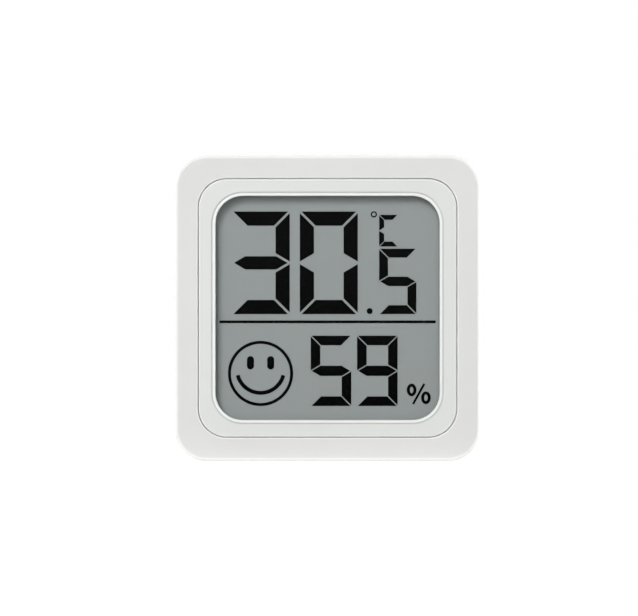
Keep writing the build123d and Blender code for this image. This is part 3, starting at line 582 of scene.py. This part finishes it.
def fine_solid(name, colour, roughness, scale, contrast, depth=0.002 * MM):
    """Ceramic, epoxy, rubber and the like: a fine grain in colour, roughness and height."""
    material, tree, look = new_material(name)
    grain = tree.noise(scale, detail=5.0)
    dark, light = tint(colour, 1 - contrast), tint(colour, 1 + contrast)
    tree.join(tree.blend(tree.spread_noise(grain), dark, light), look["Base Color"])
    tree.join(tree.spread_noise(grain, roughness - 0.06, roughness + 0.08), look["Roughness"])
    add_bump(tree, look, grain, depth)
    return material


def zebra_rubber(name, finish):
    """Silicone strip with black carbon layers across its length."""
    carbon, silicone = (0.03, 0.03, 0.032), (0.62, 0.3, 0.28)
    material, tree, look = new_material(name)
    along, _, _ = tree.parts(tree.place())
    phase = tree.maths("MULTIPLY", along, 2 * math.pi / LAYER_PITCH)
    layer = tree.spread(tree.maths("SINE", phase), -0.1, 0.1)
    tree.join(tree.blend(layer, carbon, silicone), look["Base Color"])
    grain = tree.noise(1.0 / finish.grain)
    tree.join(tree.spread_noise(grain, 0.45, 0.6), look["Roughness"])
    add_bump(tree, look, layer, LAYER_DEPTH)
    return material


def board_laminate(name, mask_colour, copper):
    """Green solder mask over tracks that stand a little proud, gilt through holes, painted shade in
    the bores.
    """
    material, tree, look = new_material(name)
    # Without its Y part the pattern runs straight through the board
    flat = tree.stretch(tree.place(), (1.0, 0.0, 1.0))
    tracks = tree.cells("DISTANCE_TO_EDGE", TRACKS, flat)
    holes = tree.cells("F1", HOLES, flat)
    weave = tree.add("ShaderNodeTexChecker")
    weave.inputs["Scale"].default_value = WEAVE
    tree.join(flat, weave.inputs["Vector"])
    track = tree.spread(tracks, 0.1, 0.07)
    pad = tree.spread(holes, 0.11, 0.095)
    hole = tree.spread(holes, 0.055, 0.045)
    woven = tree.spread(weave.outputs["Fac"], 0.0, 1.0, 0.0, 0.25)
    plain = tree.blend(woven, mask_colour, tint(mask_colour, 1.25))
    routed = tree.blend(track, plain, tint(mask_colour, 1.9))
    gilt = tree.blend(pad, routed, copper)
    # Painted shade: each hole's centre is darkened where its bore would lie in shade
    tree.join(tree.blend(hole, gilt, tint(mask_colour, 0.3)), look["Base Color"])
    tree.join(tree.maths("SUBTRACT", pad, hole), look["Metallic"])
    tree.join(tree.spread(track, 0.0, 1.0, 0.3, 0.38), look["Roughness"])
    add_bump(tree, look, tree.maths("SUBTRACT", track, hole), TRACK_DEPTH)
    return material


def dress(material, *names):
    """Give CAD nodes a material in place of the plain one."""
    for name in names:
        mesh = NODES[name].data
        mesh.materials.clear()
        mesh.materials.append(material)


# Small pieces


def read_node(name):
    """A CAD node's mesh as a bmesh with its double corners joined."""
    mesh = bmesh.new()
    mesh.from_mesh(NODES[name].data)
    bmesh.ops.remove_doubles(mesh, verts=mesh.verts, dist=WELD)
    return mesh


def solid_boxes(name):
    """The lowest and highest corner of every separate solid in a CAD node, in a steady order."""
    mesh = read_node(name)
    left = set(mesh.verts)
    boxes = []
    while left:
        waiting = [left.pop()]
        solid = set()
        while waiting:
            vert = waiting.pop()
            solid.add(vert)
            for edge in vert.link_edges:
                other = edge.other_vert(vert)
                if other in left:
                    left.remove(other)
                    waiting.append(other)
        low = Vector([min(vert.co[axis] for vert in solid) for axis in range(3)])
        high = Vector([max(vert.co[axis] for vert in solid) for axis in range(3)])
        boxes.append((low, high))
    mesh.free()
    return sorted(boxes, key=lambda box: tuple(round(value, 6) for value in box[0]))


def add_block(mesh, low, high, rounding):
    """A block between two corners with rounded edges."""
    low, high = Vector(low), Vector(high)
    made = bmesh.ops.create_cube(mesh, size=1.0)["verts"]
    size, middle = high - low, (high + low) / 2
    for vert in made:
        vert.co = Vector([vert.co[axis] * size[axis] for axis in range(3)]) + middle
    edges = list(dict.fromkeys(edge for vert in made for edge in vert.link_edges))
    bmesh.ops.bevel(mesh, geom=edges, offset=rounding, segments=3, affect="EDGES", profile=0.6)


def add_fillet(mesh, low, high, side, foot):
    """A solder fillet at the end of a part: high at the part, and run out flat on the board."""
    # Solder height as a share of the part's, and how far it drops at the part's corners
    top_share, side_drop = 0.7, 0.3
    size = high - low
    end = high.x if side > 0 else low.x
    middle = (low.z + high.z) / 2
    for vert in bmesh.ops.create_grid(mesh, x_segments=6, y_segments=6, size=0.5)["verts"]:
        run, across = vert.co.x + 0.5, vert.co.y
        rise = (1 - run) ** 2 * (1 - (2 * across) ** 2 * side_drop)
        vert.co.x = end + side * run * foot
        vert.co.y = high.y - rise * size.y * top_share
        vert.co.z = middle + across * size.z


def steady_order(mesh):
    """Order corners and faces by place, so that each run writes the same mesh."""
    for items, place in (
        (mesh.verts, lambda vert: vert.co),
        (mesh.faces, lambda face: face.calc_center_median()),
    ):
        ranked = sorted(items, key=lambda item: tuple(place(item)))
        rank = {item: number for number, item in enumerate(ranked)}
        items.sort(key=rank.get)


def finish_piece(name, mesh, material):
    """Turn a bmesh into a named piece of the case with a material."""
    bmesh.ops.recalc_face_normals(mesh, faces=mesh.faces)
    data = bpy.data.meshes.new(name)
    mesh.to_mesh(data)
    mesh.free()
    data.materials.append(material)
    data.shade_smooth()
    piece = bpy.data.objects.new(name, data)
    bpy.context.scene.collection.objects.link(piece)
    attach(piece, "case")
    return piece


def front_layers():
    """Front polariser and front glass as one open skin, whose back lies on the liquid crystal."""
    # The least Y part of the normal of a front or back face, and the widest gap at the glass
    straight, touching = 0.9, 0.01 * MM
    mesh = bmesh.new()
    for name, open_front in (("lcd_front_polariser", False), ("lcd_front_glass", True)):
        part = read_node(name)
        hidden = []
        for face in part.faces:
            at_back = face.normal.y > straight
            at_front = face.normal.y < -straight
            if at_back or (open_front and at_front):
                hidden.append(face)
        bmesh.ops.delete(part, geom=hidden, context="FACES")
        copy = bpy.data.meshes.new(name)
        part.to_mesh(copy)
        part.free()
        mesh.from_mesh(copy)
        bpy.data.meshes.remove(copy)
    glass_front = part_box("lcd_front_glass")[0][1]
    rims = []
    for edge in mesh.edges:
        on_glass = all(abs(vert.co.y - glass_front) < touching for vert in edge.verts)
        if edge.is_boundary and on_glass:
            rims.append(edge)
    bmesh.ops.bridge_loops(mesh, edges=rims)
    film = clear_sheet(
        "polariser_film",
        (0.012, 0.014, 0.013),
        facing_alpha=0.003,
        edge_alpha=0.4,
        roughness=0.35,
    )
    skin = finish_piece("display_front_layers", mesh, film)
    for face in skin.data.polygons:
        face.use_smooth = False
    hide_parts("lcd_front_polariser", "lcd_front_glass")


def end_caps_and_solder():
    """Tinned end caps and solder fillets of every small part, as one bmesh."""
    # Thickness of the caps, length of the solder, and a cap's share of the part's length
    proud, foot, cap_share = 0.02 * MM, 0.25 * MM, 0.22
    mesh = bmesh.new()
    for name in ("chip_capacitors", "chip_resistors", "chip_inductor"):
        for low, high in solid_boxes(name):
            cap = (high.x - low.x) * cap_share
            for side, end in ((-1, low.x), (1, high.x)):
                left, right = sorted((end + side * proud, end - side * cap))
                add_block(
                    mesh,
                    (left, low.y - proud, low.z - proud),
                    (right, high.y, high.z + proud),
                    proud * 0.8,
                )
                add_fillet(mesh, low, high, side, foot)
    steady_order(mesh)
    return mesh


# Stage


def seen_directly(tree):
    """One for rays from the camera, in a mirror or through glass, nought for the others."""
    path = tree.add("ShaderNodeLightPath").outputs
    mirrored = tree.maths("MAXIMUM", path["Is Camera Ray"], path["Is Glossy Ray"])
    return tree.maths("MAXIMUM", mirrored, path["Is Transmission Ray"])


def add_floor(scene, stage):
    """A matt floor that looks white by itself and lights the sensor's lower edge."""
    mesh = bmesh.new()
    bmesh.ops.create_grid(mesh, x_segments=2, y_segments=2, size=stage.floor_size / 2)
    data = bpy.data.meshes.new("studio_floor")
    mesh.to_mesh(data)
    mesh.free()
    floor = bpy.data.objects.new("studio_floor", data)
    scene.collection.objects.link(floor)

    paper = bpy.data.materials.new("studio_paper")
    tree = clear_tree(paper)
    matt = tree.add("ShaderNodeBsdfDiffuse")
    matt.inputs["Color"].default_value = (*stage.paper, 1.0)
    glow = tree.add("ShaderNodeEmission")
    _, depth, _ = tree.parts(tree.place())
    reach = stage.table_reach
    under = tree.spread(tree.maths("ABSOLUTE", depth), reach, reach * 0.7, 0.0, stage.table)
    white = tree.maths("MULTIPLY", seen_directly(tree), stage.glow)
    tree.join(tree.maths("MAXIMUM", under, white), glow.inputs["Strength"])
    both = tree.add("ShaderNodeAddShader")
    tree.join(matt.outputs["BSDF"], both.inputs[0])
    tree.join(glow.outputs["Emission"], both.inputs[1])
    out = tree.add("ShaderNodeOutputMaterial")
    tree.join(both.outputs["Shader"], out.inputs["Surface"])
    data.materials.append(paper)


def add_surroundings(scene, stage):
    """Surroundings that look white by themselves and give more light from the front."""
    world = bpy.data.worlds.new("studio_surroundings")
    tree = clear_tree(world)
    way = tree.add("ShaderNodeTexCoord").outputs["Generated"]
    _, depth, _ = tree.parts(way)
    around = tree.spread(depth, -0.05, 0.25, stage.sky, stage.back)
    air = tree.add("ShaderNodeBackground")
    air.inputs["Color"].default_value = (1.0, 1.0, 1.0, 1.0)
    tree.join(tree.maths("MAXIMUM", seen_directly(tree), around), air.inputs["Strength"])
    out = tree.add("ShaderNodeOutputWorld")
    tree.join(air.outputs["Background"], out.inputs["Surface"])
    scene.world = world


def aim(thing, place, target):
    """Put a lamp or camera at a place and turn it to a target."""
    turn = (Vector(target) - Vector(place)).to_track_quat("-Z", "Y")
    thing.matrix_world = Matrix.Translation(place) @ turn.to_matrix().to_4x4()


def add_lamp(scene, name, place, target, size, power):
    """A square soft lamp."""
    light = bpy.data.lights.new(name, "AREA")
    light.size = size
    light.energy = power
    lamp = bpy.data.objects.new(name, light)
    scene.collection.objects.link(lamp)
    aim(lamp, place, target)


def add_lamps(scene, stage, middle, front):
    """Three lamps on a wide circle, aimed at the front, and three nearer ones at the middle."""
    for name, left, up, way, power in (
        ("key_lamp", stage.key_left, stage.key_up, -1.0, stage.key),
        ("fill_lamp", 0.0, 0.0, -1.0, stage.fill),
        ("rear_lamp", stage.rear_left, stage.rear_up, 1.0, stage.rear),
    ):
        slope = Vector((-math.tan(left), way, math.tan(up)))
        place = front + slope.normalized() * stage.key_reach
        add_lamp(scene, name, place, front, stage.key_size, power)
    for name, side, power, back in (
        ("left_lamp", (-1.0, 0.0, 0.0), stage.left, stage.side_back),
        ("right_lamp", (1.0, 0.0, 0.0), stage.right, stage.side_back),
        ("top_lamp", (0.0, 0.0, 1.0), stage.top, stage.top_back),
    ):
        place = middle + Vector(side) * stage.side_reach + Vector((0.0, back, 0.0))
        add_lamp(scene, name, place, middle, stage.side_size, power)


def add_camera(scene, stage, front):
    """A camera straight in front, as far off as the lens needs for the picture's width."""
    data = bpy.data.cameras.new("studio_camera")
    data.lens = stage.lens
    data.sensor_width = SENSOR_WIDTH
    camera = bpy.data.objects.new("studio_camera", data)
    scene.collection.objects.link(camera)
    away = stage.frame_width * stage.lens / SENSOR_WIDTH
    place = front + Vector((-stage.frame_offset, -away, -stage.frame_drop))
    aim(camera, place, place + Vector((0.0, 1.0, 0.0)))
    scene.camera = camera


# Operators


class SENSOR_OT_case(bpy.types.Operator):
    """Finish the white case, the bezel, the battery door, the button and the inner holder"""

    bl_idname = "sensor.case_finish"
    bl_label = "Case finish"

    def execute(self, context):
        colours, finish = settings()
        shell = moulded_plastic("case_white", colours.shell, finish, roughness=0.62)
        dress(shell, "front_frame", "rear_housing")
        low, high = (Vector(corner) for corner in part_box("display_window"))
        rim = {
            "Half Width": (high.x - low.x) / 2 - WINDOW_OVERLAP,
            "Half Height": (high.z - low.z) / 2 - WINDOW_OVERLAP,
            "Middle Height": (high.z + low.z) / 2,
            "Radius": WINDOW_RADIUS,
        }
        bezel = moulded_plastic(
            "bezel_white", colours.bezel, finish, roughness=0.58, grain_share=0.7, rim=rim
        )
        dress(bezel, "window_bezel")
        door = moulded_plastic("door_white", colours.door, finish, roughness=0.6)
        dress(door, "battery_door")
        button = moulded_plastic(
            "button_grey", colours.button, finish, roughness=0.42, grain_share=0.5
        )
        dress(button, "unit_button")
        holder = moulded_plastic("holder_white", tint(colours.shell, 0.92), finish, roughness=0.55)
        dress(holder, "lcd_holder")
        return {"FINISHED"}


class SENSOR_OT_display(bpy.types.Operator):
    """Finish the window and the layers of the display"""

    bl_idname = "sensor.display_finish"
    bl_label = "Display finish"

    def execute(self, context):
        colours, finish = settings()
        window = clear_sheet(
            "window_clear",
            (0.012, 0.014, 0.014),
            facing_alpha=0.004,
            edge_alpha=0.6,
            roughness=0.16,
        )
        dress(window, "display_window")
        front_layers()
        ground = display_ground("reflector_grey", colours.ground, finish)
        dress(ground, "lcd_rear_glass", "lcd_rear_polariser")
        dress(display_mark("display_black", colours.mark), "lcd_segments")
        seal = fine_solid(
            "seal_resin", (0.45, 0.42, 0.34), roughness=0.4, scale=4000.0, contrast=0.06
        )
        dress(seal, "lcd_seal")
        tape = fine_solid(
            "tape_grey",
            (0.1, 0.1, 0.1),
            roughness=0.85,
            scale=6000.0,
            contrast=0.3,
            depth=0.02 * MM,
        )
        dress(tape, "window_tape")
        dress(zebra_rubber("zebra_rubber", finish), "zebra_strip_upper", "zebra_strip_lower")
        return {"FINISHED"}


class SENSOR_OT_board(bpy.types.Operator):
    """Finish the board and the parts on it"""

    bl_idname = "sensor.board_finish"
    bl_label = "Board finish"

    def execute(self, context):
        colours, _ = settings()
        dress(board_laminate("board_green", colours.board, colours.copper), "circuit_board")
        epoxy = fine_solid(
            "chip_black",
            colours.epoxy,
            roughness=0.55,
            scale=7000.0,
            contrast=0.3,
            depth=0.006 * MM,
        )
        dress(epoxy, "radio_chip", "humidity_sensor")
        for name, colour, roughness, scale, contrast, node in (
            ("antenna_ceramic", (0.68, 0.68, 0.62), 0.5, 5000.0, 0.05, "chip_antenna"),
            ("tank_resin", (0.62, 0.27, 0.03), 0.35, 2500.0, 0.12, "tank_capacitor"),
            ("ferrite_grey", (0.04, 0.04, 0.042), 0.6, 5000.0, 0.3, "chip_inductor"),
            ("capacitor_ceramic", (0.32, 0.2, 0.1), 0.45, 6000.0, 0.12, "chip_capacitors"),
            ("resistor_glaze", (0.01, 0.01, 0.014), 0.25, 6000.0, 0.2, "chip_resistors"),
            ("switch_black", (0.02, 0.02, 0.02), 0.5, 5000.0, 0.25, "switch_base"),
            ("plunger_black", (0.025, 0.025, 0.027), 0.4, 4000.0, 0.2, "switch_plunger"),
        ):
            dress(fine_solid(name, colour, roughness, scale, contrast), node)
        lid = metal("crystal_steel", colours.steel, roughness=0.32, stretch=(1.0, 1.0, 0.08))
        dress(lid, "clock_crystal")
        screw = metal(
            "screw_steel", tint(colours.steel, 0.9), roughness=0.35, stretch=(1.0, 0.2, 1.0)
        )
        dress(screw, "pcb_screws")
        return {"FINISHED"}


class SENSOR_OT_contacts(bpy.types.Operator):
    """Finish the coin cell, the battery springs and the switch's metal"""

    bl_idname = "sensor.contact_finish"
    bl_label = "Cell and contact finish"

    def execute(self, context):
        colours, _ = settings()
        spring = metal(
            "spring_steel", tint(colours.steel, 1.15), roughness=0.28, stretch=(0.05, 1.0, 1.0)
        )
        dress(spring, "negative_contact", "positive_contact", "switch_cover", "switch_dome")
        cell = metal(
            "cell_steel",
            tint(colours.steel, 1.25),
            roughness=0.24,
            stretch=(1.0, 0.06, 1.0),
            scale=3000.0,
        )
        dress(cell, "coin_cell_can", "coin_cell_cap")
        gasket = fine_solid(
            "gasket_nylon", (0.08, 0.08, 0.09), roughness=0.5, scale=3000.0, contrast=0.1
        )
        dress(gasket, "coin_cell_gasket")
        pellet = fine_solid(
            "cell_fill",
            (0.02, 0.02, 0.02),
            roughness=0.9,
            scale=4000.0,
            contrast=0.4,
            depth=0.02 * MM,
        )
        dress(pellet, "coin_cell_core")
        return {"FINISHED"}


class SENSOR_OT_solder(bpy.types.Operator):
    """Add tinned end caps and solder to the small board parts"""

    bl_idname = "sensor.solder"
    bl_label = "End caps and solder"

    def execute(self, context):
        colours, _ = settings()
        tin = metal(
            "tinned_solder",
            tint(colours.steel, 1.2),
            roughness=0.3,
            stretch=(1.0, 1.0, 1.0),
            scale=2500.0,
        )
        finish_piece("board_solder", end_caps_and_solder(), tin)
        return {"FINISHED"}


class SENSOR_OT_stage(bpy.types.Operator):
    """Set up the floor, the white surroundings, the lamps and the camera"""

    bl_idname = "sensor.stage"
    bl_label = "Studio stage"

    def execute(self, context):
        scene = context.scene
        stage = scene.sensor_stage
        low, high = (Vector(corner) for corner in CAD_BOX)
        middle = (low + high) / 2
        front = Vector((middle.x, low.y, middle.z))
        add_floor(scene, stage)
        add_surroundings(scene, stage)
        add_lamps(scene, stage, middle, front)
        add_camera(scene, stage, front)
        scene.view_settings.view_transform = "Standard"
        return {"FINISHED"}


STEPS = (
    SENSOR_OT_case,
    SENSOR_OT_display,
    SENSOR_OT_board,
    SENSOR_OT_contacts,
    SENSOR_OT_solder,
    SENSOR_OT_stage,
)


class SENSOR_PT_panel(bpy.types.Panel):
    """Steps and values of the sensor"""

    bl_label = "Temperature humidity sensor"
    bl_idname = "SENSOR_PT_panel"
    bl_space_type = "VIEW_3D"
    bl_region_type = "UI"
    bl_category = "Sensor"

    def draw(self, context):
        scene = context.scene
        for step in STEPS:
            self.layout.operator(step.bl_idname)
        for group in (scene.sensor_colours, scene.sensor_finish, scene.sensor_stage):
            box = self.layout.box()
            for key in group.bl_rna.properties.keys():
                if key not in ("rna_type", "name"):
                    box.prop(group, key)


CLASSES = (SensorColours, SensorFinish, SensorStage, *STEPS, SENSOR_PT_panel)


def register():
    for item in CLASSES:
        bpy.utils.register_class(item)
    bpy.types.Scene.sensor_colours = PointerProperty(type=SensorColours)
    bpy.types.Scene.sensor_finish = PointerProperty(type=SensorFinish)
    bpy.types.Scene.sensor_stage = PointerProperty(type=SensorStage)


def unregister():
    del bpy.types.Scene.sensor_stage
    del bpy.types.Scene.sensor_finish
    del bpy.types.Scene.sensor_colours
    for item in reversed(CLASSES):
        bpy.utils.unregister_class(item)


def main():
    """Build the looks in order."""
    register()
    bpy.ops.sensor.case_finish()
    bpy.ops.sensor.display_finish()
    bpy.ops.sensor.board_finish()
    bpy.ops.sensor.contact_finish()
    bpy.ops.sensor.solder()
    bpy.ops.sensor.stage()


if __name__ == "__main__":
    main()
